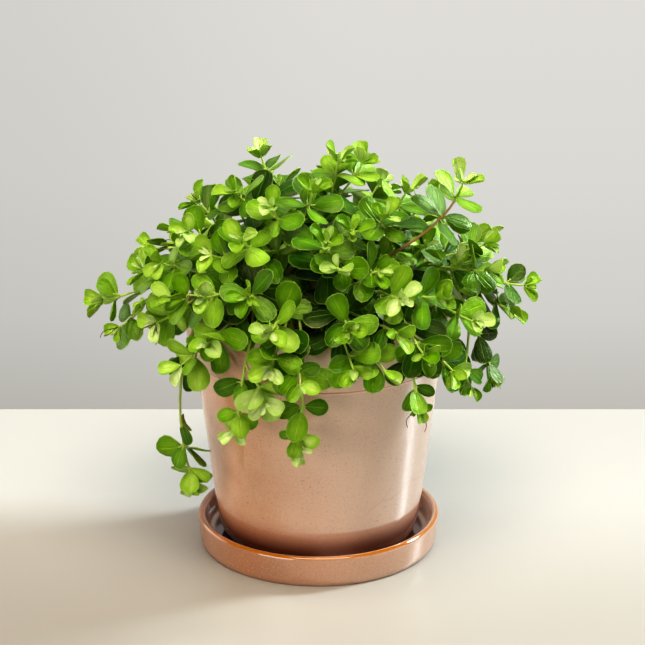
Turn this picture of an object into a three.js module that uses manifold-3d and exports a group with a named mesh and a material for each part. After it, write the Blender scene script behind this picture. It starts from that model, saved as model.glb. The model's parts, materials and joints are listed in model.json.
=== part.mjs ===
// Potted peperomia: a glazed pot on its saucer, filled with soil, and leafy stems that stand in the soil,
// rise into a dome or arch over the rim, and carry whorls of small round leaves.
// Millimetres, +Z up. The origin is the centre of the saucer's flat underside, and -Y is the front.
import * as THREE from 'three';
import { mergeVertices } from 'three/addons/utils/BufferGeometryUtils.js';
import Module from 'manifold-3d';

const wasm = await Module();
wasm.setup();

// Gap between pieces that touch
const GAP = 0.3;

// Saucer
const SAUCER_RADIUS = 64.1;
const SAUCER_HEIGHT = 17.1;
const SAUCER_FLOOR = 5;
const SAUCER_WALL = 4;
const SAUCER_FOOT_INSET = 2.4;
const SAUCER_FOOT_HEIGHT = 2;
const SAUCER_FLARE = 0.9;
const SAUCER_LIP = 1.8;
const SAUCER_COVE = 2.2;

// Pot
const POT_RIM_RADIUS = 70;
const POT_RIM_Z = 133.5;
const POT_WALL = 5;
const COLLAR_FOOT_RADIUS = 67.3;
const COLLAR_FOOT_Z = 106.5;
const NECK_RADIUS = 64.4;
const WAIST_RADIUS = 55;
const WAIST_Z = 26;
const POT_FOOT_RADIUS = 52;
const POT_FOOT_CHAMFER = 3.5;
const POT_LIP = 2;
const COLLAR_LEDGE = 1.2;
const DRAIN_RADIUS = 2.7;
const ROUND_SEGMENTS = 32;

// Soil
const SOIL_TOP_Z = 119;
const SOIL_GAP = 0.6;
const HOLE_DEPTH = 7;
const HOLE_RADIUS = 2.3;
const HOLE_SIDES = 4;
const HOLE_FIELD_RADIUS = 54;
const HOLE_REACH = 0.55;
const SPARE_HOLES = 4;

// Dome that the foliage fills: half-widths, the height of its widest level and, behind the crown, a lower top
const DOME_X = 106;
const DOME_Y = 100;
const DOME_Z = 88;
const DOME_BACK_Z = 68;
const DOME_LEVEL = 128;

// Stems
const STEM_RADIUS = 1.3;
const STEM_SIDES = 3;
const STEM_STEP = 24;
const STEM_TRIES = 60;
const STEM_SPACING = 3.3;
const STEM_SAMPLE = 2.5;
const RIM_CLEARANCE = 1.7;
const STEM_FREE_FROM = 10;
const SIDE_SHOOT_AT = 34;
const SIDE_SHOOT_FREE_FROM = 9;
const TIP_LEAF_REACH = 7;
const FARTHEST_NODE = 0.6;

// Bend of a main stem: how it leaves the soil and meets its tip, as shares of its span,
// and what it clears outside the pot
const STEM_BEND = { rise: 0.42, leastRise: 30, lean: 0.08, end: 0.34, wobble: 1.5 };
const OVER_RIM = { radius: 66, below: 175, leastRise: 54 };
const HANGING = { below: 126, crestRadius: 79, crestShare: 0.7, crestZ: 150 };
const SIDE_BEND = { towardsTip: 0.7, alongStem: 0.5, start: 0.35, end: 0.3, wobble: 0.8 };

// Angle at which a shoot ends, by the height of its tip
const TIP_LEVEL_Z = 143;
const TIP_TURN = 1.05;
const TIP_LOWEST = -60;
const TIP_STEEPEST = 75;

// Leaves, by whorl from the tip inwards
const WHORLS = [
  { distance: 1.2, length: 9, lift: 0.6 },
  { distance: 9, length: 13.4, lift: 0.32 },
  { distance: 23, length: 16.2, lift: 0.12 },
];
const HANGING_LEAVES = { below: 110, share: 0.78 };
const LEAVES_PER_WHORL = 2;
const SIDE_SHOOT_WHORLS = 2;
const PETIOLE_SHARE = 0.24;
const PETIOLE_LEAST = 2.6;
const PETIOLE_TEST = 0.7;
const LEAF_TRIES = 16;
const LEAF_CLEARANCE = 2;
const WHORL_CLEARANCE = 0.9;
const LEAF_STEM_CLEARANCE = 2.4;
const LEAF_EDGE_CLEARANCE = 0.8;
const LEAF_RIM_SAMPLES = 12;
const LEAF_INNER_RING = 0.55;
const LEAF_NEIGHBOURHOOD = 2;
const OWN_STEM_REACH_SQUARED = 30;

// How a leaf turns: away from the light's line, along its shoot, and its face towards the light
const LEAF_TURN = { fromLight: 0.7, alongShoot: 0.5, faceLight: 0.85, faceShoot: 0.3 };
const OUTWARD_SHARE = 0.8;

// How freely leaves are drawn: node, size, azimuth, lift and tilt, and how much more with each try
const NODE_DRAW = 0.2;
const SIZE_DRAW = 0.24;
const SIZE_LOSS = 0.2;
const AZIMUTH_DRAW = 0.2;
const LIFT_DRAW = 0.3;
const TILT_DRAW = 0.5;

// Leaf solid, as shares of its length: half-width, broadening towards the tip, and the cup of its rim
const LEAF_HALF_WIDTH = 0.48;
const LEAF_BROADENING = 0.1;
const LEAF_CUP = 0.05;
const LEAF_THICKNESS = 0.6;
const LEAF_THICKENING = 0.04;
const LEAF_CROWN = 0.1;
const NECK_ANGLE = 152;
const PETIOLE_KNEE = 1.9;
const PETIOLE_HALF_WIDTH = 0.6;
const PETIOLE_RIDGE = 0.45;
const PETIOLE_KEEL = 0.4;

// Where the outermost leaf of each stem in the front half reaches, from the crown down,
// and that of its side shoot. One leans far over from a root that is given too
const FRONT_STEMS = [
  { tip: [-31, 3, 216], side: [-44, -27, 204] },
  { tip: [11, -20, 219], side: [24, -10, 216] },
  { tip: [-24, -49, 202], side: [-3, -38, 208] },
  { tip: [47, -24, 204] },
  { tip: [35, -52, 198] },
  { tip: [-64, -17, 196], side: [-68, -41, 186] },
  { tip: [71, -58, 218], root: [6, -44] },
  { tip: [-94, -28, 160], side: [-83, -44, 169] },
  { tip: [90, -19, 172], side: [91, -36, 162] },
  { tip: [-40, -62, 188], side: [-56, -58, 178] },
  { tip: [5, -73, 190] },
  { tip: [18, -66, 194] },
  { tip: [10, -82, 178], side: [31, -79, 175] },
  { tip: [-36, -86, 163] },
  { tip: [-58, -77, 160], side: [-78, -58, 153] },
  { tip: [42, -84, 162], side: [62, -72, 158] },
  { tip: [-118, -7, 134], side: [-108, -22, 123] },
  { tip: [113, -9, 144], side: [104, -28, 136] },
  { tip: [81, -62, 141] },
  { tip: [16, -97, 148], side: [41, -91, 144] },
  { tip: [-24, -97, 147] },
  { tip: [-56, -85, 137], side: [-72, -66, 116] },
  { tip: [-86, -52, 136] },
  { tip: [55, -87, 130], side: [70, -74, 116] },
  { tip: [18, -99, 126], side: [34, -94, 124] },
  { tip: [-24, -99, 127], side: [-9, -100, 118] },
  { tip: [51, -86, 100] },
  { tip: [92, -42, 100], side: [80, -62, 102] },
  { tip: [-41, -83, 86], side: [-28, -93, 106] },
  { tip: [-10, -84, 76] },
  { tip: [-67, -44, 43] },
];

// Rings of stems round the back: height angle on the dome, number of stems, and whether they have side shoots
const BACK_RINGS = [
  { angle: 68, count: 3, side: false },
  { angle: 46, count: 5, side: false },
  { angle: 24, count: 6, side: true },
  { angle: 3, count: 6, side: true },
];
const BACK_FROM = 104;
const BACK_TO = 244;
const RING_START = 0.25;
const RING_STAGGER = 0.3;
const RING_DRAW = 0.2;
const RING_HEIGHT_DRAW = 8;
const RING_LEAST = 0.93;
const RING_GROWTH = 0.12;
const BACK_SIDE_STEP = 0.45;
const BACK_SIDE_DROP = 9;
const BACK_SIDE_DRAW = 6;

const SHELF_Z = SAUCER_FLOOR + GAP;
const POT_FLOOR_Z = SHELF_Z + POT_WALL + 1;
const POT_FLOOR_RADIUS = POT_FOOT_RADIUS - POT_WALL - POT_LIP;
const NECK_INNER_Z = COLLAR_FOOT_Z - 3;
const UP = new THREE.Vector3(0, 0, 1);
const LIGHT = new THREE.Vector3(0.08, -0.36, 0.6);
const RADIANS = Math.PI / 180;
const GOLDEN_ANGLE = Math.PI * (3 - Math.sqrt(5));

const colours = {
  glaze: new THREE.MeshStandardMaterial({ color: 0xc98f74, roughness: 0.2, metalness: 0 }),
  soil: new THREE.MeshStandardMaterial({ color: 0x3a2a1e, roughness: 0.95, metalness: 0 }),
  leaf: new THREE.MeshStandardMaterial({ color: 0x4f9a2c, roughness: 0.4, metalness: 0 }),
};

// Seeded draws between 0 and 1
function seededDraws(seed) {
  let state = seed;
  return () => {
    state = (state * 1664525 + 1013904223) % 4294967296;
    return state / 4294967296;
  };
}
const draw = seededDraws(2332);

// Closed solid of a geometry, without the triangles that shrank to nothing on the axis
function toSolid(geometry) {
  geometry.deleteAttribute('normal');
  geometry.deleteAttribute('uv');
  const merged = mergeVertices(geometry, 1e-4);
  const corners = merged.index.array;
  const kept = [];
  for (let i = 0; i < corners.length; i += 3) {
    const [a, b, c] = [corners[i], corners[i + 1], corners[i + 2]];
    if (a !== b && b !== c && c !== a) kept.push(a, b, c);
  }
  const vertProperties = new Float32Array(merged.attributes.position.array);
  return new wasm.Manifold(new wasm.Mesh({ numProp: 3, vertProperties, triVerts: new Uint32Array(kept) }));
}

function toGeometry(solid) {
  const mesh = solid.getMesh();
  const geometry = new THREE.BufferGeometry();
  geometry.setAttribute('position', new THREE.BufferAttribute(mesh.vertProperties, 3));
  geometry.setIndex(new THREE.BufferAttribute(mesh.triVerts, 1));
  geometry.computeVertexNormals();
  return geometry;
}

function turned(profile) {
  const points = profile.map(([radius, height]) => new THREE.Vector2(radius, height));
  return new THREE.LatheGeometry(points, ROUND_SEGMENTS).rotateX(Math.PI / 2);
}

function saucerGeometry() {
  const inner = SAUCER_RADIUS - SAUCER_WALL;
  return turned([
    [0, 0],
    [SAUCER_RADIUS - SAUCER_FOOT_INSET, 0],
    [SAUCER_RADIUS - SAUCER_FLARE, SAUCER_FOOT_HEIGHT],
    [SAUCER_RADIUS, SAUCER_HEIGHT - SAUCER_LIP],
    [SAUCER_RADIUS - SAUCER_LIP, SAUCER_HEIGHT],
    [inner, SAUCER_HEIGHT - SAUCER_LIP],
    [inner - SAUCER_FLARE, SAUCER_FLOOR + SAUCER_COVE],
    [inner - SAUCER_FLARE - SAUCER_COVE, SAUCER_FLOOR],
    [0, SAUCER_FLOOR],
  ]);
}

function potGeometry() {
  return turned([
    [DRAIN_RADIUS, SHELF_Z],
    [POT_FOOT_RADIUS - POT_FOOT_CHAMFER, SHELF_Z],
    [POT_FOOT_RADIUS, SHELF_Z + POT_FOOT_CHAMFER],
    [WAIST_RADIUS, WAIST_Z],
    [NECK_RADIUS, COLLAR_FOOT_Z - COLLAR_LEDGE],
    [COLLAR_FOOT_RADIUS, COLLAR_FOOT_Z],
    [POT_RIM_RADIUS, POT_RIM_Z - POT_LIP],
    [POT_RIM_RADIUS - POT_LIP, POT_RIM_Z],
    [POT_RIM_RADIUS - POT_WALL + COLLAR_LEDGE, POT_RIM_Z],
    [POT_RIM_RADIUS - POT_WALL, POT_RIM_Z - POT_LIP],
    [NECK_RADIUS - POT_WALL, NECK_INNER_Z],
    [WAIST_RADIUS - POT_WALL, WAIST_Z],
    [POT_FLOOR_RADIUS, POT_FLOOR_Z],
    [DRAIN_RADIUS, POT_FLOOR_Z],
    [DRAIN_RADIUS, SHELF_Z],
  ]);
}

// Radius of the pot's inside above the soil, and of its outside at any height
function potInnerRadius(z) {
  const share = (z - NECK_INNER_Z) / (POT_RIM_Z - POT_LIP - NECK_INNER_Z);
  return NECK_RADIUS - POT_WALL + (POT_RIM_RADIUS - NECK_RADIUS) * share;
}

function potOuterRadius(z) {
  if (z > COLLAR_FOOT_Z - POT_LIP) return POT_RIM_RADIUS;
  return WAIST_RADIUS + ((NECK_RADIUS - WAIST_RADIUS) * (z - WAIST_Z)) / (COLLAR_FOOT_Z - WAIST_Z);
}

function soilSolid(shoots) {
  const body = toSolid(
    turned([
      [0, POT_FLOOR_Z + GAP],
      [POT_FLOOR_RADIUS - SOIL_GAP, POT_FLOOR_Z + GAP],
      [WAIST_RADIUS - POT_WALL - SOIL_GAP, WAIST_Z],
      [NECK_RADIUS - POT_WALL - SOIL_GAP, NECK_INNER_Z],
      [potInnerRadius(SOIL_TOP_Z) - SOIL_GAP, SOIL_TOP_Z],
      [0, SOIL_TOP_Z],
    ]),
  );
  return shoots.reduce((soil, shoot) => soil.subtract(stemHole(shoot.path)), body);
}

// Plain hole along a stem's first stretch
function stemHole(path) {
  const along = path[1].clone().sub(path[0]).normalize();
  const length = 2 * HOLE_DEPTH;
  const hole = new THREE.CylinderGeometry(HOLE_RADIUS, HOLE_RADIUS, length, HOLE_SIDES);
  hole.applyQuaternion(new THREE.Quaternion().setFromUnitVectors(new THREE.Vector3(0, 1, 0), along));
  const middle = path[0].clone().addScaledVector(along, length / 2 - GAP * 2);
  return toSolid(hole.translate(middle.x, middle.y, middle.z));
}

// Place behind the crown, on a dome of the given size
function onBackDome(azimuth, angle, size) {
  const level = Math.cos(angle * RADIANS);
  const x = DOME_X * level * Math.sin(azimuth * RADIANS);
  const y = -DOME_Y * level * Math.cos(azimuth * RADIANS);
  const z = DOME_BACK_Z * Math.sin(angle * RADIANS);
  return new THREE.Vector3(x, y, z).multiplyScalar(size).addScaledVector(UP, DOME_LEVEL);
}

function outwardAt(point) {
  const { x, y, z } = point;
  return new THREE.Vector3(x / DOME_X ** 2, y / DOME_Y ** 2, (z - DOME_LEVEL) / DOME_Z ** 2).normalize();
}

// Direction that leaves face: out of the dome and towards the light
function lightAt(point) {
  return outwardAt(point).multiplyScalar(OUTWARD_SHARE).add(LIGHT).normalize();
}

// Direction in which a shoot ends: upright at the crown, level at the dome's side, hanging below it
function endDirection(tip) {
  const radius = Math.hypot(tip.x, tip.y) || 1;
  const rise = THREE.MathUtils.clamp((tip.z - TIP_LEVEL_Z) * TIP_TURN, TIP_LOWEST, TIP_STEEPEST) * RADIANS;
  const level = Math.cos(rise) / radius;
  return new THREE.Vector3(tip.x * level, tip.y * level, Math.sin(rise));
}

function isClearOfPot(point, margin) {
  const radius = Math.hypot(point.x, point.y);
  if (point.z > POT_RIM_Z + margin) return true;
  if (radius < potInnerRadius(point.z) - margin) return point.z > SOIL_TOP_Z + margin;
  return radius > potOuterRadius(point.z) + margin;
}

function sampled(path) {
  const samples = [];
  for (let i = 1; i < path.length; i++) {
    const count = Math.ceil(path[i].distanceTo(path[i - 1]) / STEM_SAMPLE);
    for (let k = 1; k <= count; k++) samples.push(path[i - 1].clone().lerp(path[i], k / count));
  }
  return samples;
}

// Holes for the stems, spread evenly over the soil in a spiral
function holeField(count) {
  const places = [];
  for (let k = 0; k < count; k++) {
    const radius = HOLE_FIELD_RADIUS * Math.sqrt((k + 0.5) / count);
    places.push(new THREE.Vector2(radius * Math.cos(k * GOLDEN_ANGLE), radius * Math.sin(k * GOLDEN_ANGLE)));
  }
  return places;
}

// The free hole that is nearest to where a stem with this tip would grow
function takeHole(places, { tip, root }) {
  const radius = Math.hypot(tip.x, tip.y);
  const share = Math.min(HOLE_REACH, HOLE_FIELD_RADIUS / radius);
  const wanted = root ?? new THREE.Vector2(tip.x * share, tip.y * share);
  let nearest = 0;
  places.forEach((place, k) => {
    if (place.distanceTo(wanted) < places[nearest].distanceTo(wanted)) nearest = k;
  });
  return places.splice(nearest, 1)[0];
}

function spacedPath(controls) {
  const curve = new THREE.CubicBezierCurve3(...controls);
  const steps = Math.max(2, Math.ceil(curve.getLength() / STEM_STEP));
  return { curve, steps, path: curve.getSpacedPoints(steps) };
}

function wobble(reach) {
  return new THREE.Vector3(draw() - 0.5, draw() - 0.5, draw() - 0.5).multiplyScalar(reach);
}

// Control points of a main stem from its hole to its tip, clear of the rim where it hangs outside
function mainControls(hole, tip, attempt) {
  const foot = new THREE.Vector3(hole.x, hole.y, SOIL_TOP_Z - HOLE_DEPTH);
  const span = foot.distanceTo(tip);
  const radius = Math.hypot(tip.x, tip.y);
  const outside = radius > OVER_RIM.radius && tip.z < OVER_RIM.below;
  const rise = Math.max(STEM_BEND.rise * span, outside ? OVER_RIM.leastRise : STEM_BEND.leastRise);
  const lean = new THREE.Vector3(tip.x - hole.x, tip.y - hole.y, 0).multiplyScalar(STEM_BEND.lean);
  const first = foot.clone().addScaledVector(UP, rise).add(lean);
  const last = tip.clone().addScaledVector(endDirection(tip), -STEM_BEND.end * span);
  if (tip.z < HANGING.below) {
    const crest = THREE.MathUtils.lerp(radius, HANGING.crestRadius, HANGING.crestShare);
    last.set((tip.x * crest) / radius, (tip.y * crest) / radius, HANGING.crestZ);
  }
  first.add(wobble(STEM_BEND.wobble * attempt));
  last.add(wobble(STEM_BEND.wobble * attempt));
  return [foot, first, last, tip];
}

function sideControls(parent, tip, attempt) {
  const start = nodeAt(parent, SIDE_SHOOT_AT);
  const toTip = tip.clone().sub(start.point);
  const span = toTip.length();
  const heading = toTip.multiplyScalar(SIDE_BEND.towardsTip / span);
  heading.addScaledVector(start.axis, SIDE_BEND.alongStem);
  const first = start.point.clone().addScaledVector(heading.normalize(), SIDE_BEND.start * span);
  const last = tip.clone().addScaledVector(endDirection(tip), -SIDE_BEND.end * span);
  first.add(wobble(SIDE_BEND.wobble * attempt));
  last.add(wobble(SIDE_BEND.wobble * attempt));
  return [start.point, first, last, tip];
}

// Point and direction at a distance back from a shoot's tip
function nodeAt(shoot, distance) {
  const { path } = shoot;
  let left = Math.min(distance, shoot.length * FARTHEST_NODE);
  for (let i = path.length - 1; i > 0; i--) {
    const axis = path[i].clone().sub(path[i - 1]);
    const length = axis.length();
    axis.divideScalar(length);
    if (left <= length) return { point: path[i].clone().addScaledVector(axis, -left), axis };
    left -= length;
  }
  return null;
}

function stemIsClear(path, samples, stems, isFork) {
  for (const point of samples) {
    const fromStart = point.distanceTo(path[0]);
    if (fromStart > STEM_FREE_FROM && !isClearOfPot(point, RIM_CLEARANCE)) return false;
    if (isFork && fromStart < SIDE_SHOOT_FREE_FROM) continue;
    for (const stem of stems) {
      for (const other of stem.samples) {
        if (point.distanceToSquared(other) < STEM_SPACING ** 2) return false;
      }
    }
  }
  return true;
}

// Grows a shoot whose control points keep it clear of the others, or gives up after some tries
function growShoot(controlsFor, stems, extra) {
  for (let attempt = 0; attempt < STEM_TRIES; attempt++) {
    const controls = controlsFor(attempt);
    const { curve, steps, path } = spacedPath(controls);
    const samples = sampled(path);
    if (stemIsClear(path, samples, stems, extra.fork)) {
      const shoot = { curve, steps, path, samples, length: curve.getLength(), leaves: [], ...extra };
      stems.push(shoot);
      return shoot;
    }
  }
  return null;
}

// Leaf as a flat round plate with its samples, from the stem point that its petiole leaves
function placeLeaf(node, azimuth, lift, length, tilt, whorl) {
  const { point, axis } = node;
  const reference = Math.abs(axis.x) < 0.8 ? new THREE.Vector3(1, 0, 0) : new THREE.Vector3(0, 1, 0);
  const across = axis.clone().cross(reference).normalize();
  const aside = axis.clone().cross(across);
  const light = lightAt(point);
  const out = across.multiplyScalar(Math.cos(azimuth)).addScaledVector(aside, Math.sin(azimuth));
  out.multiplyScalar(Math.cos(lift)).addScaledVector(axis, Math.sin(lift));
  const facing = out.dot(light);
  out.addScaledVector(light, -LEAF_TURN.fromLight * facing);
  out.addScaledVector(axis, LEAF_TURN.alongShoot * Math.abs(facing)).normalize();
  const up = light.multiplyScalar(LEAF_TURN.faceLight).addScaledVector(axis, LEAF_TURN.faceShoot).add(tilt);
  up.addScaledVector(out, -up.dot(out)).normalize();
  const side = up.clone().cross(out);
  const petiole = Math.max(PETIOLE_SHARE * length, PETIOLE_LEAST);
  const radius = length / 2;
  const centre = point.clone().addScaledVector(out, petiole + radius);
  const samples = [centre];
  for (let k = 0; k < LEAF_RIM_SAMPLES; k++) {
    const angle = (k * 2 * Math.PI) / LEAF_RIM_SAMPLES;
    for (const ring of k % 2 ? [radius] : [radius, radius * LEAF_INNER_RING]) {
      const sample = centre.clone().addScaledVector(out, ring * Math.cos(angle));
      samples.push(sample.addScaledVector(side, ring * Math.sin(angle)));
    }
  }
  return { point, out, up, side, petiole, length, radius, centre, samples, whorl };
}

function touchesPlate(point, leaf, clearance) {
  const away = point.clone().sub(leaf.centre);
  const height = away.dot(leaf.up);
  if (Math.abs(height) > clearance) return false;
  return away.lengthSq() - height * height < (leaf.radius + LEAF_EDGE_CLEARANCE) ** 2;
}

function leafIsClear(leaf, shoot, leaves, stems) {
  if (leaf.samples.some((point) => !isClearOfPot(point, RIM_CLEARANCE))) return false;
  for (const other of leaves) {
    const near = leaf.radius + other.radius + LEAF_NEIGHBOURHOOD;
    if (leaf.centre.distanceToSquared(other.centre) > near * near) continue;
    const clearance = other.whorl === leaf.whorl ? WHORL_CLEARANCE : LEAF_CLEARANCE;
    if (leaf.samples.some((point) => touchesPlate(point, other, clearance))) return false;
    if (other.samples.some((point) => touchesPlate(point, leaf, clearance))) return false;
  }
  const middle = leaf.point.clone().addScaledVector(leaf.out, leaf.petiole * PETIOLE_TEST);
  const others = leaves.filter((other) => other.whorl !== leaf.whorl);
  if (others.some((other) => touchesPlate(middle, other, LEAF_CLEARANCE))) return false;
  for (const stem of stems) {
    for (const point of stem.samples) {
      const own = stem.plant === shoot.plant && point.distanceToSquared(leaf.point) < OWN_STEM_REACH_SQUARED;
      if (!own && touchesPlate(point, leaf, LEAF_STEM_CLEARANCE)) return false;
    }
  }
  return true;
}

// Whorl of leaves round a shoot, each turned and tilted until it is clear of all others
function growWhorl(shoot, order, leaves, stems) {
  const { distance, length, lift } = WHORLS[order];
  const grown = shoot.path.at(-1).z < HANGING_LEAVES.below ? length * HANGING_LEAVES.share : length;
  const count = LEAVES_PER_WHORL;
  const turn = draw() * 2 * Math.PI;
  const node = nodeAt(shoot, distance * (1 + NODE_DRAW * (draw() - 0.5)));
  const whorl = leaves.whorls++;
  for (let k = 0; k < count; k++) {
    for (let attempt = 0; attempt < LEAF_TRIES; attempt++) {
      const loose = attempt / LEAF_TRIES;
      const azimuth = turn + ((k + (draw() - 0.5) * (AZIMUTH_DRAW + loose)) * 2 * Math.PI) / count;
      const raised = lift + (draw() - 0.5) * (LIFT_DRAW + loose);
      const size = grown * (1 + SIZE_DRAW * (0.5 - draw()) - SIZE_LOSS * loose);
      const leaf = placeLeaf(node, azimuth, raised, size, wobble(TILT_DRAW * (1 + loose)), whorl);
      if (leafIsClear(leaf, shoot, leaves, stems)) {
        leaves.push(leaf);
        shoot.leaves.push(leaf);
        break;
      }
    }
  }
}

// Round cupped blade with a three-sided petiole that narrows to a point inside the stem
function leafGeometry(leaf) {
  const { length, petiole } = leaf;
  const rimCount = 4 + (length > 10) + (length > 14);
  const thickness = LEAF_THICKNESS + LEAF_THICKENING * length;
  const middle = petiole + length / 2;
  const [top, under, root, ridge, right, left, rim] = [0, 1, 2, 3, 4, 5, 6];
  const local = [
    [middle, 0, LEAF_CROWN],
    [middle, 0, LEAF_CROWN - thickness],
    [-0.1, 0, 0],
    [PETIOLE_KNEE, 0, PETIOLE_RIDGE],
    [PETIOLE_KNEE, -PETIOLE_HALF_WIDTH, -PETIOLE_KEEL],
    [PETIOLE_KNEE, PETIOLE_HALF_WIDTH, -PETIOLE_KEEL],
  ];
  for (let k = 0; k < rimCount; k++) {
    const angle = NECK_ANGLE * ((2 * k) / (rimCount - 1) - 1) * RADIANS;
    const halfWidth = LEAF_HALF_WIDTH * length * (1 + LEAF_BROADENING * Math.cos(angle));
    const rise = LEAF_CUP * length * Math.sin(angle) ** 2;
    local.push([middle + 0.5 * length * Math.cos(angle), halfWidth * Math.sin(angle), rise]);
  }
  const last = rim + rimCount - 1;
  const faces = [root, right, ridge, root, ridge, left, root, left, right];
  faces.push(ridge, right, rim, ridge, last, left);
  faces.push(top, ridge, rim, top, last, ridge, under, left, last, under, right, left, under, rim, right);
  for (let k = rim; k < last; k++) faces.push(top, k, k + 1, under, k + 1, k);
  const positions = local.flatMap(([along, across, rise]) => {
    const place = leaf.point.clone().addScaledVector(leaf.out, along).addScaledVector(leaf.side, across);
    return place.addScaledVector(leaf.up, rise).toArray();
  });
  const geometry = new THREE.BufferGeometry();
  geometry.setAttribute('position', new THREE.Float32BufferAttribute(positions, 3));
  geometry.setIndex(faces);
  return geometry;
}

function stemGeometry(shoot) {
  const section = new THREE.Shape();
  for (let k = 0; k < STEM_SIDES; k++) {
    const angle = ((k + 0.5) * 2 * Math.PI) / STEM_SIDES;
    const corner = [STEM_RADIUS * Math.cos(angle), STEM_RADIUS * Math.sin(angle)];
    if (k === 0) section.moveTo(...corner);
    else section.lineTo(...corner);
  }
  section.closePath();
  const { steps, curve } = shoot;
  return new THREE.ExtrudeGeometry(section, { steps, extrudePath: curve, curveSegments: 1 });
}

// One closed solid of a stem, its side shoots and all their leaves
function plantSolid(shoots) {
  const [stem, ...branches] = shoots.map((shoot) => toSolid(stemGeometry(shoot)));
  const leaves = shoots.flatMap((shoot) => shoot.leaves.map((leaf) => toSolid(leafGeometry(leaf))));
  return [...branches, ...leaves].reduce((plant, piece) => plant.add(piece), stem);
}

// End of a stem whose outermost leaf reaches a place
function stemEnd(place) {
  return place.addScaledVector(endDirection(place), -TIP_LEAF_REACH);
}

// Every stem's tip, and its side shoot's tip where it has one: the front by place, the back by rings
function stemTips() {
  const tips = FRONT_STEMS.map(({ tip, side, root }) => ({
    tip: stemEnd(new THREE.Vector3(...tip)),
    side: side && stemEnd(new THREE.Vector3(...side)),
    root: root && new THREE.Vector2(...root),
  }));
  BACK_RINGS.forEach(({ angle, count, side }, ring) => {
    const step = (BACK_TO - BACK_FROM) / count;
    for (let k = 0; k < count; k++) {
      const azimuth = BACK_FROM + step * (k + RING_START + RING_STAGGER * (ring % 2) + RING_DRAW * draw());
      const height = angle + RING_HEIGHT_DRAW * (draw() - 0.5);
      const size = RING_LEAST + RING_GROWTH * draw();
      const place = (turn, rise) => onBackDome(azimuth + turn, height + rise, size);
      const drop = () => BACK_SIDE_DRAW * draw() - BACK_SIDE_DROP;
      tips.push({ tip: place(0, 0), side: side ? place(step * BACK_SIDE_STEP, drop()) : null });
    }
  });
  return tips;
}

// The whole plant: first every main stem, then the side shoots, then the leaves from the tips inwards
function growPlants() {
  const tips = stemTips();
  const places = holeField(tips.length + SPARE_HOLES);
  const stems = [];
  const leaves = [];
  leaves.whorls = 0;
  const reach = ({ tip }) => Math.hypot(tip.x, tip.y);
  const holes = new Map();
  const outermostFirst = [...tips].sort((a, b) => reach(b) - reach(a));
  outermostFirst.forEach((entry) => holes.set(entry, takeHole(places, entry)));
  const plants = tips.map((entry, plant) =>
    growShoot((attempt) => mainControls(holes.get(entry), entry.tip, attempt), stems, { plant, fork: false }),
  );
  plants.forEach((main, plant) => {
    const { side } = tips[plant];
    if (main && side) growShoot((attempt) => sideControls(main, side, attempt), stems, { plant, fork: true });
  });
  for (let order = 0; order < WHORLS.length; order++) {
    for (const shoot of stems) {
      if (!shoot.fork || order < SIDE_SHOOT_WHORLS) growWhorl(shoot, order, leaves, stems);
    }
  }
  return plants.map((main, plant) => stems.filter((shoot) => shoot.plant === plant));
}

function named(name, geometry, material) {
  const mesh = new THREE.Mesh(geometry, material);
  mesh.name = name;
  return mesh;
}

const plants = growPlants();
const object = new THREE.Group();
object.add(named('saucer', saucerGeometry(), colours.glaze));
object.add(named('pot', potGeometry(), colours.glaze));
object.add(named('soil', toGeometry(soilSolid(plants.map(([main]) => main))), colours.soil));
plants.forEach((shoots, k) => {
  const name = `leafy_stem_${String(k + 1).padStart(2, '0')}`;
  object.add(named(name, toGeometry(plantSolid(shoots)), colours.leaf));
});

export default object;
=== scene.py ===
"""Potted peperomia: the glazed pot on its saucer, the soil, and the leafy stems that stand in the soil.

The plant is grown in millimetres by the same rule as its solids, then made fuller with more leaves. Every
finished piece is in metres, +Z up, with the front towards -Y.
"""

import json
import math
from types import SimpleNamespace

import bpy
import numpy as np
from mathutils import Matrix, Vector

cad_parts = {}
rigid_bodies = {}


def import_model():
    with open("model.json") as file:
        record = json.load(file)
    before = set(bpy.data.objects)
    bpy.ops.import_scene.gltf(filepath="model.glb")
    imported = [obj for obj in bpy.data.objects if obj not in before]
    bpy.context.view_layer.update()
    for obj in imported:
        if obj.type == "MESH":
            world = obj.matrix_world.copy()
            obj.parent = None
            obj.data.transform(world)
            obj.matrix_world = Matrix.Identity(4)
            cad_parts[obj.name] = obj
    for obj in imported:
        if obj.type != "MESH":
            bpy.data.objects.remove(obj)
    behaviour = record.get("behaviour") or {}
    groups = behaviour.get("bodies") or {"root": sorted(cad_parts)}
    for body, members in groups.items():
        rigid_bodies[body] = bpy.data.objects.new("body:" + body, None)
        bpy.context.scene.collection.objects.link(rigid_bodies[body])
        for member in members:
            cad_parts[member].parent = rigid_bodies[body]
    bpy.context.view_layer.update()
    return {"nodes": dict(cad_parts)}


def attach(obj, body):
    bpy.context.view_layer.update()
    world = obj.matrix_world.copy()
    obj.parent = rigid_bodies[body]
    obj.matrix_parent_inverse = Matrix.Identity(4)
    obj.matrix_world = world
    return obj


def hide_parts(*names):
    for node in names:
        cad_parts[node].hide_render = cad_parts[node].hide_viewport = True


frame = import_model()
bpy.ops.object.select_all(action="DESELECT")

MM = 0.001

# Saucer, mm
SAUCER_RADIUS = 64.1
SAUCER_HEIGHT = 17.1
SAUCER_FLOOR = 5
SAUCER_WALL = 4

# Pot, mm
POT_RIM_RADIUS = 70
POT_RIM_Z = 133.5
POT_WALL = 5
COLLAR_FOOT_RADIUS = 67.3
COLLAR_FOOT_Z = 106.5
NECK_RADIUS = 64.4
WAIST_RADIUS = 55
WAIST_Z = 26
POT_FOOT_RADIUS = 52
POT_FOOT_Z = 5.3
POT_FLOOR_Z = 11.3
DRAIN_RADIUS = 2.7
ROUND_SIDES = 128

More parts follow.
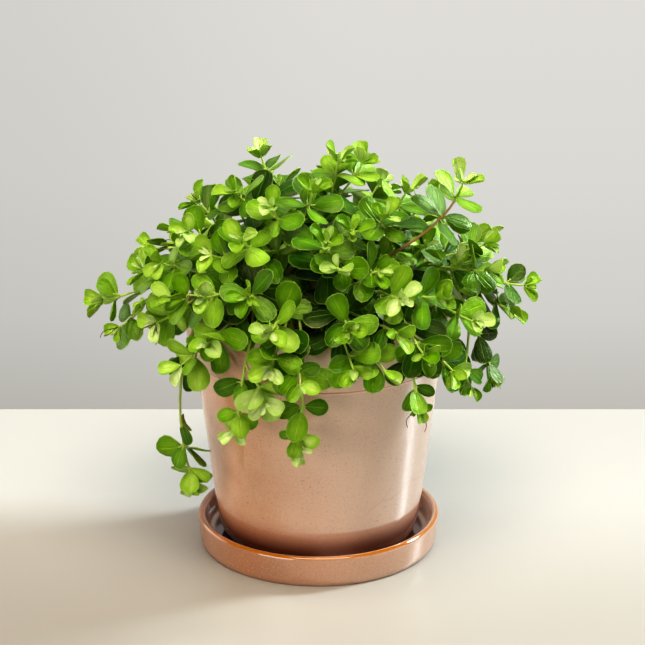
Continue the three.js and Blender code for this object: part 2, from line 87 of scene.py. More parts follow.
# Soil, mm
SOIL_TOP_Z = 119
HOLE_DEPTH = 7
HOLE_FIELD_RADIUS = 54
HOLE_REACH = 0.55
SPARE_HOLES = 4
CRUMBS = 520
CRUMB_FIELD_RADIUS = 62

# Dome of the foliage, mm
DOME_X = 106
DOME_Y = 100
DOME_Z = 88
DOME_BACK_Z = 68
DOME_LEVEL = 128

# Stems, mm
STEM_STEP = 24
STEM_TRIES = 60
STEM_SPACING = 3.3
STEM_SAMPLE = 2.5
RIM_CLEARANCE = 1.7
SIDE_SHOOT_AT = 34
SIDE_SHOOT_FREE_FROM = 9
TIP_LEAF_REACH = 7
FARTHEST_NODE = 0.6
# A stem rises by a share of its span, and by more where it has to clear the rim
STEM_RISE = 0.42
LEAST_RISE = 30
OVER_RIM_RISE = 54
OVER_RIM_RADIUS = 66
OVER_RIM_BELOW_Z = 175
# A stem whose tip is below this crests outside the rim and hangs
CREST_BELOW_Z = 126
CREST_RADIUS = 79
CREST_Z = 150
# A tip turns up with its height above this level, within these degrees
TIP_LEVEL_Z = 143
TIP_TURN = 1.05
TIP_LOWEST = -60
TIP_STEEPEST = 75

# Leaves, by whorl from the tip inwards: how far from the tip, how long, how steeply raised
WHORLS = [(1.2, 9, 0.6), (9, 13.4, 0.32), (23, 16.2, 0.12)]
HANGING_BELOW_Z = 110
HANGING_LEAF_SHARE = 0.78
SIDE_SHOOT_WHORLS = 2
PETIOLE_SHARE = 0.24
LEAF_TRIES = 16
LEAF_CLEARANCE = 2
WHORL_CLEARANCE = 0.9
LEAF_STEM_CLEARANCE = 2.4
LEAF_EDGE_CLEARANCE = 0.8
LEAF_RIM_SAMPLES = 12

# Where the outermost leaf of each stem in the front half reaches, and that of its side shoot
FRONT_STEMS = [
    ((-31, 3, 216), (-44, -27, 204)),
    ((11, -20, 219), (24, -10, 216)),
    ((-24, -49, 202), (-3, -38, 208)),
    ((47, -24, 204), None),
    ((35, -52, 198), None),
    ((-64, -17, 196), (-68, -41, 186)),
    ((71, -58, 218), None),
    ((-94, -28, 160), (-83, -44, 169)),
    ((90, -19, 172), (91, -36, 162)),
    ((-40, -62, 188), (-56, -58, 178)),
    ((5, -73, 190), None),
    ((18, -66, 194), None),
    ((10, -82, 178), (31, -79, 175)),
    ((-36, -86, 163), None),
    ((-58, -77, 160), (-78, -58, 153)),
    ((42, -84, 162), (62, -72, 158)),
    ((-118, -7, 134), (-108, -22, 123)),
    ((113, -9, 144), (104, -28, 136)),
    ((81, -62, 141), None),
    ((16, -97, 148), (41, -91, 144)),
    ((-24, -97, 147), None),
    ((-56, -85, 137), (-72, -66, 116)),
    ((-86, -52, 136), None),
    ((55, -87, 130), (70, -74, 116)),
    ((18, -99, 126), (34, -94, 124)),
    ((-24, -99, 127), (-9, -100, 118)),
    ((51, -86, 100), None),
    ((92, -42, 100), (80, -62, 102)),
    ((-41, -83, 86), (-28, -93, 106)),
    ((-10, -84, 76), None),
    ((-67, -44, 43), None),
]
# The stem that leans far over, and the place in the soil that it grows from
LEANING_STEM = 6
LEANING_ROOT = np.array((6.0, -44.0))
TRAILING_STEM = 30
TRAILING_LEAF_LENGTH = 13
# Rings of stems round the back: height angle, number of stems, whether they have side shoots
BACK_RINGS = [(68, 3, False), (46, 5, False), (24, 6, True), (3, 6, True)]
BACK_FROM = 104
BACK_TO = 244

LIGHT = np.array((0.08, -0.36, 0.6))
GOLDEN_ANGLE = math.pi * (3 - math.sqrt(5))


def seeded_draws(seed):
    state = seed

    def draw():
        nonlocal state
        state = (state * 1664525 + 1013904223) % 4294967296
        return state / 4294967296

    return draw


def length_of(vector):
    return math.sqrt(float(vector @ vector))


def unit(vector):
    return vector / length_of(vector)


def wobble(draw, reach):
    return np.array([draw() - 0.5, draw() - 0.5, draw() - 0.5]) * reach


# ---- the plant's growth ----


def outward_at(point):
    x, y, z = point
    return unit(np.array([x / DOME_X**2, y / DOME_Y**2, (z - DOME_LEVEL) / DOME_Z**2]))


def light_at(point):
    return unit(outward_at(point) * 0.8 + LIGHT)


def end_direction(tip):
    radius = math.hypot(tip[0], tip[1]) or 1
    rise = math.radians(min(TIP_STEEPEST, max(TIP_LOWEST, (tip[2] - TIP_LEVEL_Z) * TIP_TURN)))
    return np.array([tip[0] / radius * math.cos(rise), tip[1] / radius * math.cos(rise), math.sin(rise)])


def pot_inner_radius(z):
    return NECK_RADIUS - POT_WALL + (POT_RIM_RADIUS - NECK_RADIUS) * (z - COLLAR_FOOT_Z + 3) / (
        POT_RIM_Z - COLLAR_FOOT_Z + 1
    )


def pot_outer_radius(z):
    body = WAIST_RADIUS + (NECK_RADIUS - WAIST_RADIUS) * (z - WAIST_Z) / (COLLAR_FOOT_Z - WAIST_Z)
    return np.where(z > COLLAR_FOOT_Z - 2, POT_RIM_RADIUS, body)


def clear_of_pot(points, margin):
    radius = np.hypot(points[:, 0], points[:, 1])
    z = points[:, 2]
    inside = radius < pot_inner_radius(z) - margin
    above_soil, outside = z > SOIL_TOP_Z + margin, radius > pot_outer_radius(z) + margin
    return (z > POT_RIM_Z + margin) | np.where(inside, above_soil, outside)


def bezier(controls, t):
    t = np.asarray(t)[:, None]
    k = 1 - t
    a, b, c, d = controls
    return k**3 * a + 3 * k * k * t * b + 3 * k * t * t * c + t**3 * d


def spaced_points(controls, steps):
    """Points at equal distances along the curve, and the curve's length."""
    t = np.linspace(0, 1, 201)
    steps_along = np.linalg.norm(np.diff(bezier(controls, t), axis=0), axis=1)
    gone = np.concatenate([[0], np.cumsum(steps_along)])
    if steps is None:
        steps = max(2, math.ceil(gone[-1] / STEM_STEP))
    return bezier(controls, np.interp(gone[-1] * np.arange(steps + 1) / steps, gone, t)), gone[-1]


def sampled(path):
    samples = []
    for a, b in zip(path, path[1:]):
        count = math.ceil(length_of(b - a) / STEM_SAMPLE)
        samples += [a + (b - a) * k / count for k in range(1, count + 1)]
    return np.array(samples)


def hole_field(count):
    spots = []
    for k in range(count):
        radius = HOLE_FIELD_RADIUS * math.sqrt((k + 0.5) / count)
        spots.append(np.array([radius * math.cos(k * GOLDEN_ANGLE), radius * math.sin(k * GOLDEN_ANGLE)]))
    return spots


def take_hole(spots, tip, wanted=None):
    if wanted is None:
        wanted = tip[:2] * min(HOLE_REACH, HOLE_FIELD_RADIUS / math.hypot(tip[0], tip[1]))
    nearest = min(range(len(spots)), key=lambda k: length_of(spots[k] - wanted))
    return spots.pop(nearest)


def main_controls(hole, tip, attempt, draw):
    foot = np.array([hole[0], hole[1], SOIL_TOP_Z - HOLE_DEPTH])
    span = length_of(tip - foot)
    radius = math.hypot(tip[0], tip[1])
    over_rim = radius > OVER_RIM_RADIUS and tip[2] < OVER_RIM_BELOW_Z
    rise = max(STEM_RISE * span, OVER_RIM_RISE if over_rim else LEAST_RISE)
    first = foot + np.array([0, 0, rise]) + np.array([tip[0] - hole[0], tip[1] - hole[1], 0]) * 0.08
    last = tip - end_direction(tip) * 0.34 * span
    if tip[2] < CREST_BELOW_Z:
        reach = (0.3 * radius + 0.7 * CREST_RADIUS) / radius
        last = np.array([tip[0] * reach, tip[1] * reach, CREST_Z])
    first = first + wobble(draw, 1.5 * attempt)
    last = last + wobble(draw, 1.5 * attempt)
    return foot, first, last, tip


def side_controls(parent, at, tip, attempt, draw):
    start, axis = node_at(parent, at)
    span = length_of(tip - start)
    heading = unit((tip - start) / span * 0.7 + axis * 0.5)
    first = start + heading * 0.35 * span + wobble(draw, 0.8 * attempt)
    last = tip - end_direction(tip) * 0.3 * span + wobble(draw, 0.8 * attempt)
    return start, first, last, tip


def node_at(shoot, distance):
    """Point and direction at a distance back from a shoot's tip."""
    left = min(distance, shoot.length * FARTHEST_NODE)
    path = shoot.path
    for a, b in zip(path[-2::-1], path[:0:-1]):
        span = length_of(b - a)
        if left <= span:
            axis = (b - a) / span
            return b - axis * left, axis
        left -= span
    raise ValueError("no such node")


class Foliage:
    """Every stem and leaf grown so far, with the tests that keep them clear of one another."""

    def __init__(self):
        self.stems = []
        self.leaves = []
        self.whorls = 0
        self.stem_points = np.zeros((0, 3))
        self.stem_plants = np.zeros(0, int)
        self.centres = np.zeros((0, 3))
        self.ups = np.zeros((0, 3))
        self.radii = np.zeros(0)
        self.whorl_of = np.zeros(0, int)
        self.rims = np.zeros((0, 19, 3))

    def stem_is_clear(self, path, samples, fork, spacing):
        from_start = np.linalg.norm(samples - path[0], axis=1)
        if not clear_of_pot(samples[from_start > HOLE_DEPTH + 3], RIM_CLEARANCE).all():
            return False
        tested = samples[from_start >= SIDE_SHOOT_FREE_FROM] if fork else samples
        away = ((tested[:, None] - self.stem_points[None]) ** 2).sum(2)
        return not (away < spacing**2).any()

    def grow_shoot(self, controls_for, plant, fork, spacing=STEM_SPACING, tries=STEM_TRIES, **facts):
        for attempt in range(tries):
            controls = controls_for(attempt)
            path, length = spaced_points(controls, None)
            samples = sampled(path)
            if self.stem_is_clear(path, samples, fork, spacing):
                shoot = SimpleNamespace(
                    controls=controls, path=path, samples=samples, length=length, plant=plant, fork=fork,
                    leaves=[], nodes=[], **facts,
                )
                self.stems.append(shoot)
                self.stem_points = np.concatenate([self.stem_points, samples])
                self.stem_plants = np.concatenate([self.stem_plants, np.full(len(samples), plant)])
                return shoot
        return None

    def leaf_is_clear(self, leaf, plant, spacing):
        if not clear_of_pot(leaf.samples, RIM_CLEARANCE).all():
            return False
        near = ((self.centres - leaf.centre) ** 2).sum(1) <= (leaf.radius + self.radii + 2) ** 2
        if near.any():
            same = self.whorl_of[near] == leaf.whorl
            clearance = np.where(same, WHORL_CLEARANCE, LEAF_CLEARANCE) * spacing
            away = leaf.samples[None] - self.centres[near][:, None]
            height = np.einsum("nsk,nk->ns", away, self.ups[near])
            flat = (away**2).sum(2) - height**2
            edge = (self.radii[near] + LEAF_EDGE_CLEARANCE * spacing) ** 2
            if ((np.abs(height) <= clearance[:, None]) & (flat < edge[:, None])).any():
                return False
            away = self.rims[near] - leaf.centre
            height = away @ leaf.up
            flat = (away**2).sum(2) - height**2
            edge = (leaf.radius + LEAF_EDGE_CLEARANCE * spacing) ** 2
            if ((np.abs(height) <= clearance[:, None]) & (flat < edge)).any():
                return False
        if len(self.centres):
            middle = leaf.point + leaf.out * leaf.petiole * 0.7
            away = middle - self.centres
            height = (away * self.ups).sum(1)
            flat = (away**2).sum(1) - height**2
            touching = (np.abs(height) <= LEAF_CLEARANCE * spacing) & (
                flat < (self.radii + LEAF_EDGE_CLEARANCE * spacing) ** 2
            )
            if (touching & (self.whorl_of != leaf.whorl)).any():
                return False
        own = (self.stem_plants == plant) & (((self.stem_points - leaf.point) ** 2).sum(1) < 30)
        away = self.stem_points - leaf.centre
        height = away @ leaf.up
        flat = (away**2).sum(1) - height**2
        touching = (np.abs(height) <= LEAF_STEM_CLEARANCE * spacing) & (
            flat < (leaf.radius + LEAF_EDGE_CLEARANCE * spacing) ** 2
        )
        return not (touching & ~own).any()

    def add_leaf(self, shoot, leaf):
        self.leaves.append(leaf)
        shoot.leaves.append(leaf)
        self.centres = np.concatenate([self.centres, leaf.centre[None]])
        self.ups = np.concatenate([self.ups, leaf.up[None]])
        self.radii = np.append(self.radii, leaf.radius)
        self.whorl_of = np.append(self.whorl_of, leaf.whorl)
        self.rims = np.concatenate([self.rims, leaf.samples[None]])

    def grow_whorl(
        self, shoot, order, distance, length, lift, draw, count=2, turn=None, spacing=1, whorl=None
    ):
        drawn = draw() * 2 * math.pi
        turn = drawn if turn is None else turn
        if shoot.path[-1][2] < HANGING_BELOW_Z:
            length = length * HANGING_LEAF_SHARE
        reach = distance * (0.9 + 0.2 * draw())
        point, axis = node_at(shoot, reach)
        if whorl is None:
            whorl = self.whorls
            self.whorls += 1
        grown = 0
        for k in range(count):
            for attempt in range(LEAF_TRIES):
                loose = attempt / LEAF_TRIES
                azimuth = turn + (k + (draw() - 0.5) * (0.2 + loose)) * 2 * math.pi / count
                raised = lift + (draw() - 0.5) * (0.3 + loose)
                size = length * (1.12 - 0.24 * draw() - 0.2 * loose)
                leaf = place_leaf(point, axis, azimuth, raised, size, wobble(draw, 0.5 + 0.5 * loose), whorl)
                if self.leaf_is_clear(leaf, shoot.plant, spacing):
                    leaf.order = order
                    self.add_leaf(shoot, leaf)
                    grown += 1
                    break
        if grown:
            shoot.nodes.append(reach)
        return SimpleNamespace(turn=turn, whorl=whorl, reach=reach)


def place_leaf(point, axis, azimuth, lift, length, tilt, whorl):
    reference = np.array([1.0, 0, 0]) if abs(axis[0]) < 0.8 else np.array([0, 1.0, 0])
    across = unit(np.cross(axis, reference))
    aside = np.cross(axis, across)
    light = light_at(point)
    out = across * math.cos(azimuth) + aside * math.sin(azimuth)
    out = out * math.cos(lift) + axis * math.sin(lift)
    facing = out @ light
    out = unit(out - light * 0.7 * facing + axis * 0.5 * abs(facing))
    up = light * 0.85 + axis * 0.3 + tilt
    up = unit(up - out * (up @ out))
    side = np.cross(up, out)
    petiole = max(PETIOLE_SHARE * length, 2.6)
    radius = length / 2
    centre = point + out * (petiole + radius)
    samples = [centre]
    for k in range(LEAF_RIM_SAMPLES):
        angle = k * 2 * math.pi / LEAF_RIM_SAMPLES
        for ring in (radius,) if k % 2 else (radius, radius * 0.55):
            samples.append(centre + out * ring * math.cos(angle) + side * ring * math.sin(angle))
    return SimpleNamespace(
        point=point, out=out, up=up, side=side, petiole=petiole, length=length, radius=radius, centre=centre,
        samples=np.array(samples), whorl=whorl, order=0,
    )


def stem_end(place):
    return place - end_direction(place) * TIP_LEAF_REACH


def on_back_dome(azimuth, angle, shrink):
    level = math.cos(math.radians(angle))
    x = DOME_X * level * math.sin(math.radians(azimuth))
    y = -DOME_Y * level * math.cos(math.radians(azimuth))
    z = DOME_BACK_Z * math.sin(math.radians(angle)) * shrink + DOME_LEVEL
    return np.array([x * shrink, y * shrink, z])


def stem_tips(draw):
    tips = []
    for tip, side in FRONT_STEMS:
        side_tip = None if side is None else stem_end(np.array(side, float))
        tips.append((stem_end(np.array(tip, float)), side_tip))
    for ring, (angle, count, has_side) in enumerate(BACK_RINGS):
        step = (BACK_TO - BACK_FROM) / count
        for k in range(count):
            azimuth = BACK_FROM + step * (k + 0.25 + 0.3 * (ring % 2) + 0.2 * draw())
            height = angle + 8 * (draw() - 0.5)
            shrink = 0.93 + 0.12 * draw()
            side = on_back_dome(azimuth + step * 0.45, height - 9 + 6 * draw(), shrink) if has_side else None
            tips.append((on_back_dome(azimuth, height, shrink), side))
    return tips


def grow_plants():
    """The stems and leaves of the solids, by the same rule and the same draws."""
    draw = seeded_draws(2332)
    foliage = Foliage()
    tips = stem_tips(draw)
    spots = hole_field(len(tips) + SPARE_HOLES)
    holes = {}
    for k in sorted(range(len(tips)), key=lambda k: -math.hypot(tips[k][0][0], tips[k][0][1])):
        holes[k] = take_hole(spots, tips[k][0], LEANING_ROOT if k == LEANING_STEM else None)
    mains = [
        foliage.grow_shoot(
            lambda attempt, k=k, tip=tip: main_controls(holes[k], tip, attempt, draw), k, False
        )
        for k, (tip, side) in enumerate(tips)
    ]
    for k, (tip, side) in enumerate(tips):
        if mains[k] and side is not None:
            foliage.grow_shoot(
                lambda attempt, k=k, side=side: side_controls(mains[k], SIDE_SHOOT_AT, side, attempt, draw),
                k, True, parent=mains[k],
            )
    crosses = []
    for order, (distance, length, lift) in enumerate(WHORLS):
        for shoot in foliage.stems:
            if not shoot.fork or order < SIDE_SHOOT_WHORLS:
                crosses.append((shoot, order, foliage.grow_whorl(shoot, order, distance, length, lift, draw)))
    return foliage, crosses


# More leaves than the solids have: the rest of each whorl, older whorls down the stems, the small leaves of
# each tip, and short shoots from the older nodes
OLDER_WHORLS = [(37, 17.5, 0.05), (51, 17, 0), (66, 16.5, 0), (82, 16, 0)]
SHORT_SHOOTS = [(50, 30), (66, 34), (84, 34)]


def dome_share(point):
    """How far out a place is in the dome: 1 on its surface."""
    x, y, z = point
    top = DOME_BACK_Z + (DOME_Z - DOME_BACK_Z) * min(1, max(0, (30 - y) / 40))
    return math.sqrt((x / DOME_X) ** 2 + (y / DOME_Y) ** 2 + (max(0, z - DOME_LEVEL) / top) ** 2)


def fill_out(foliage, crosses):
    draw = seeded_draws(977)
    mains = [shoot for shoot in foliage.stems if not shoot.fork and shoot.plant != LEANING_STEM]
    for shoot in mains:
        for at, reach in SHORT_SHOOTS:
            too_far = at > shoot.length * FARTHEST_NODE or at > shoot.length - 26
            if too_far or shoot.path[-1][2] < CREST_BELOW_Z:
                continue
            start, axis = node_at(shoot, at)

            def short_controls(attempt, start=start, axis=axis, reach=reach, at=at, shoot=shoot):
                heading = unit(light_at(start) * 0.9 + axis * 0.4 + wobble(draw, 1.6))
                span = reach * (0.75 + 0.4 * draw())
                while span > 12 and dome_share(start + heading * span) > 0.9:
                    span -= 2
                return side_controls(shoot, at, start + heading * span, 1 + attempt * 0.2, draw)

            foliage.grow_shoot(
                short_controls, shoot.plant, True, spacing=2.6, tries=14, parent=shoot, short=True
            )
    for shoot in foliage.stems:
        for k in range(1 if shoot.fork else 2):
            foliage.grow_whorl(shoot, -1, 0.4 + 0.9 * k, 4.6 + 1.6 * k, 1.0 - 0.3 * k, draw, 2, spacing=0.35)
        if hasattr(shoot, "short"):
            for order, (distance, length, lift) in enumerate(WHORLS[:2]):
                foliage.grow_whorl(shoot, order, distance, length, lift, draw, 3, spacing=0.7)
    for shoot, order, made in crosses:
        if order == 0 and draw() < 0.4:
            continue
        length, lift = WHORLS[order][1:]
        foliage.grow_whorl(
            shoot, order, made.reach, length * 0.9, lift, draw, 2, turn=made.turn + math.pi / 2, spacing=0.6,
            whorl=made.whorl,
        )
    for shoot in foliage.stems:
        if shoot.fork and shoot.length > 34:
            foliage.grow_whorl(shoot, 2, 21, 16, 0.15, draw, 3, spacing=0.65)
    for order, (distance, length, lift) in enumerate(OLDER_WHORLS):
        for shoot in mains:
            hangs = shoot.path[-1][2] < HANGING_BELOW_Z
            trailing = shoot.plant == TRAILING_STEM
            if hangs and distance < 60 and not (trailing and order == 0):
                continue
            if distance < shoot.length * FARTHEST_NODE and distance < shoot.length - 22:
                size = TRAILING_LEAF_LENGTH if trailing else length
                count = 2 if hangs else 3
                foliage.grow_whorl(shoot, order + 3, distance, size, lift, draw, count, spacing=0.65)


foliage, crosses = grow_plants()
fill_out(foliage, crosses)


# ---- finishes ----


class Value:
    """A node's output, on which shader maths is written as plain expressions."""

    def __init__(self, finish, socket):
        self.finish, self.socket = finish, socket

    def maths(self, operation, *values):
        return self.finish.node("ShaderNodeMath", {"operation": operation}, dict(enumerate(values)))

    def __add__(self, other):
        return self.maths("ADD", self, other)

    __radd__ = __add__

    def __sub__(self, other):
        return self.maths("SUBTRACT", self, other)

    def __rsub__(self, other):
        return self.maths("SUBTRACT", other, self)

    def __mul__(self, other):
        return self.maths("MULTIPLY", self, other)

    __rmul__ = __mul__

    def __truediv__(self, other):
        return self.maths("DIVIDE", self, other)

    def __pow__(self, other):
        return self.maths("POWER", self, other)

    def __abs__(self):
        return self.maths("ABSOLUTE", self)

    def rising(self, low, high):
        """0 below low, 1 above high, smooth between them."""
        settings = {"interpolation_type": "SMOOTHSTEP"}
        sockets = {"Value": self, "From Min": low, "From Max": high}
        return self.finish.node("ShaderNodeMapRange", settings, sockets)

    def falling(self, low, high):
        return 1 - self.rising(low, high)


class Finish:
    """A material, built from expressions on node outputs."""

    def __init__(self, name, **constants):
        self.material = bpy.data.materials.new(name)
        self.material.use_nodes = True
        self.tree = self.material.node_tree
        self.shader = self.tree.nodes["Principled BSDF"]
        for socket, value in constants.items():
            self.shader.inputs[socket.replace("_", " ")].default_value = value

    def node(self, kind, settings=None, sockets=None, output=0):
        made = self.tree.nodes.new(kind)
        for key, value in (settings or {}).items():
            if key == "stops":
                for k, (place, colour) in enumerate(value):
                    stop = made.color_ramp.elements[k] if k < 2 else made.color_ramp.elements.new(place)
                    stop.position, stop.color = place, colour
            else:
                setattr(made, key, value)
        for key, value in (sockets or {}).items():
            if isinstance(value, Value):
                self.tree.links.new(value.socket, made.inputs[key])
            else:
                made.inputs[key].default_value = value
        return Value(self, made.outputs[output])

    def place(self):
        return self.node("ShaderNodeTexCoord", output="Object")

    def part_of(self, vector, axis):
        return self.node("ShaderNodeSeparateXYZ", {}, {0: vector}, axis)

    def noise(self, where, scale, detail=2.0, roughness=0.5):
        sockets = {"Vector": where, "Scale": scale, "Detail": detail, "Roughness": roughness}
        return self.node("ShaderNodeTexNoise", {}, sockets, "Fac")

    def cells(self, where, scale):
        return self.node("ShaderNodeTexVoronoi", {}, {"Vector": where, "Scale": scale}, "Distance")

    def attribute(self, name):
        return self.node("ShaderNodeAttribute", {"attribute_name": name}, {}, "Fac")

    def mixed(self, share, first, second):
        """Two colours mixed, second where share is 1."""
        return self.node("ShaderNodeMix", {"data_type": "RGBA"}, {0: share, 6: first, 7: second}, 2)

    def ramp(self, share, stops):
        return self.node("ShaderNodeValToRGB", {"stops": stops}, {"Fac": share})

    def relief(self, height, strength, depth):
        sockets = {"Height": height, "Strength": strength, "Distance": depth}
        return self.node("ShaderNodeBump", {}, sockets)

    def wear(self, **links):
        for socket, value in links.items():
            self.tree.links.new(value.socket, self.shader.inputs[socket.replace("_", " ")])
        return self.material


def colour(red, green, blue):
    """Linear colour of a screen colour from 0 to 255."""

    def linear(c):
        return c / 255 / 12.92 if c / 255 <= 0.04045 else ((c / 255 + 0.055) / 1.055) ** 2.4

    return linear(red), linear(green), linear(blue), 1.0


def glaze_finish(name, edges, deep, painted_sheen_tone):
    """Speckled pink-beige glaze, made paler to one side by a painted sheen, with painted reflection and
    painted shade that turn it brown at the pot's foot, and painted light on the saucer's inner wall.

    edges are the corners where it breaks amber, as mm of (radius, height, reach).
    """
    glaze = Finish(name, IOR=1.85, Roughness=0.07)
    where = glaze.place()
    z = glaze.part_of(where, "Z") / MM
    x = glaze.part_of(where, "X") / MM
    y = glaze.part_of(where, "Y") / MM
    radius = (x * x + y * y) ** 0.5
    clouds = glaze.noise(where, 30.0, 4.0, 0.6)
    body = glaze.mixed(clouds.rising(0.3, 0.7) * 0.4, deep, colour(196, 132, 92))
    # painted sheen: the glaze made paler towards +X, standing in for a reflection of the lit table
    pale = (x + (z * 0.16) + (clouds * 8)).rising(-34, 40)
    body = glaze.mixed(pale * 0.85, body, painted_sheen_tone)
    grain = glaze.noise(where, 1200.0, 4.0, 0.75)
    body = glaze.mixed(grain.rising(0.5, 0.72) * 0.24, body, colour(240, 208, 180))
    body = glaze.mixed(grain.falling(0.3, 0.48) * 0.3, body, colour(150, 88, 58))
    specks = glaze.cells(where, 430.0)
    density = glaze.noise(where, 70.0, 3.0).rising(0.45, 0.75)
    dark = specks.falling(0.08, 0.2) * density
    body = glaze.mixed(dark * 0.6, body, colour(104, 56, 36))
    bent = where_bent(glaze, where)
    to_edge = {"feature": "DISTANCE_TO_EDGE"}
    lines = glaze.node("ShaderNodeTexVoronoi", to_edge, {"Vector": bent, "Scale": 15.0})
    some = glaze.noise(where, 12.0, 1.0).rising(0.5, 0.6)
    hairlines = lines.falling(0.002, 0.008) * some * z.rising(30, 40)
    body = glaze.mixed(hairlines * 0.12, body, colour(126, 78, 58))
    # painted reflection: a brown band low on the pot's outside, crisp on the pale side and soft on the other
    painted_foot_zone = radius.rising(45, 50) * radius.falling(57, 58)
    painted_reflection_band = z.falling(25, 27) * pale + z.falling(20, 34) * (1 - pale)
    body = glaze.mixed(painted_reflection_band * painted_foot_zone * 0.5, body, colour(158, 92, 58))
    # painted shade: darker brown still at the pot's foot and on the saucer's floor round it
    body = glaze.mixed(z.falling(14, 25) * painted_foot_zone * 0.8, body, colour(96, 44, 24))
    # painted light: the saucer's inner wall made lighter where it lies in shade
    painted_light_inner_wall = radius.rising(55, 57) * radius.falling(60.5, 61.5) * z.rising(3, 6) * z.falling(17, 19)
    body = glaze.mixed(painted_light_inner_wall * 0.75, body, colour(244, 212, 190))
    amber = colour(186, 112, 10)
    for edge_radius, height, reach in edges:
        drift = (glaze.noise(where, 60.0, 2.0) - 0.5) * 0.7
        away = ((radius - edge_radius) ** 2 + (z - height) ** 2) ** 0.5
        body = glaze.mixed((away + drift).falling(reach * 0.55, reach) * 0.95, body, amber)
    waves = glaze.noise(where, 55.0, 2.0) + grain * 0.05
    return glaze.wear(Base_Color=body, Normal=glaze.relief(waves, 0.2, 0.001))


def where_bent(finish, where):
    """Places pushed about by a slow noise, so that lines between cells curve."""
    push = finish.node("ShaderNodeTexNoise", {}, {"Vector": where, "Scale": 18.0}, "Color")
    push = finish.node("ShaderNodeVectorMath", {"operation": "SCALE"}, {0: push, "Scale": 0.03})
    return finish.node("ShaderNodeVectorMath", {"operation": "ADD"}, {0: where, 1: push})


LEAF_STOPS = [
    (0.0, colour(214, 232, 170)),
    (1.0, colour(19, 50, 1)),
    (0.2, colour(172, 210, 72)),
    (0.42, colour(114, 165, 4)),
    (0.7, colour(47, 98, 1)),
]


def leaf_finish():
    """Darker with age, with a midrib, arched veins, a pale margin and a lighter underside."""
    leaf = Finish(
        "leaf_blade", IOR=1.5, Roughness=0.3, Specular_IOR_Level=0.5, Specular_Tint=(1.0, 1.0, 0.55, 1)
    )
    where = leaf.place()
    uv = leaf.node("ShaderNodeUVMap", {"uv_map": "blade"})
    along = leaf.part_of(uv, "X")
    across = abs(leaf.part_of(uv, "Y") - 0.5) * 2
    age = leaf.attribute("age")
    under = leaf.attribute("under")
    mottle = leaf.noise(where, 260.0, 3.0, 0.6)
    shade = age + (mottle - 0.5) * 0.22
    blade = leaf.ramp(shade, LEAF_STOPS)
    ahead = along - 0.5
    rim = (ahead * ahead * 4 + across * across) ** 0.5
    midrib = across.falling(0.01, 0.085) * along.falling(0.6, 0.98)
    arch = abs(across - (1 - (ahead * ahead * 4)) ** 0.5 * 0.5)
    veins = arch.falling(0.0, 0.05) * 0.4
    # painted shade: the blade darker towards its margin for its curve; the lighter centre is partly the
    # leaf's own
    blade = leaf.mixed(rim.rising(0.3, 0.95) * 0.5, blade, leaf.ramp(shade + 0.26, LEAF_STOPS))
    blade = leaf.mixed((midrib * 0.5) + (veins * 0.3), blade, leaf.ramp(shade * 0.55, LEAF_STOPS))
    margin = rim.rising(0.92, 0.98)
    blade = leaf.mixed(margin * 0.45, blade, colour(168, 208, 88))
    pale = leaf.mixed(0.38, blade, colour(146, 182, 52))
    blade = leaf.mixed(under, blade, pale)
    grain = leaf.noise(where, 1700.0, 2.0, 0.6)
    sheen = 0.22 + grain * 0.22 + under * 0.2
    relief = grain * 0.6 - midrib * 1.0 - veins * 0.9 + mottle * 1.6
    return leaf.wear(Base_Color=blade, Roughness=sheen, Normal=leaf.relief(relief, 0.6, 0.0005))


def stem_finish():
    """Green at the tip, tan to brown with age, darkest on dry threads."""
    stem = Finish("stem_skin", IOR=1.45, Roughness=0.42)
    where = stem.place()
    age = stem.attribute("age")
    streaks = stem.noise(where, 420.0, 3.0, 0.6)
    stops = [(0.0, colour(186, 214, 102)), (1.0, colour(84, 46, 30)), (0.45, colour(156, 176, 80)),
             (0.7, colour(186, 146, 98)), (0.9, colour(176, 124, 84))]
    skin = stem.ramp(age + (streaks - 0.5) * 0.3, stops)
    return stem.wear(Base_Color=skin, Normal=stem.relief(streaks, 0.3, 0.0003))


def soil_finish():
    soil = Finish("potting_soil", Roughness=0.95)
    where = soil.place()
    clumps = soil.noise(where, 320.0, 6.0, 0.7)
    grit = soil.cells(where, 900.0)
    stops = [(0.0, colour(18, 12, 9)), (1.0, colour(96, 72, 52)), (0.55, colour(48, 34, 24))]
    relief = soil.relief(clumps + grit * 0.5, 0.9, 0.0015)
    return soil.wear(Base_Color=soil.ramp(clumps, stops), Normal=relief)


# ---- turned pieces ----


def eased(profile, steps=5):
    """A profile of (radius, height, ease) corners, each rounded over its ease on both sides."""
    points = []
    for k, (radius, height, ease) in enumerate(profile):
        here = np.array([radius, height], float)
        if not ease:
            points.append(here)
            continue
        before, after = np.array(profile[k - 1][:2], float), np.array(profile[k + 1][:2], float)
        a = here + (before - here) * min(0.5, ease / length_of(before - here))
        b = here + (after - here) * min(0.5, ease / length_of(after - here))
        for t in np.linspace(0, 1, steps):
            points.append((1 - t) ** 2 * a + 2 * t * (1 - t) * here + t * t * b)
    return points


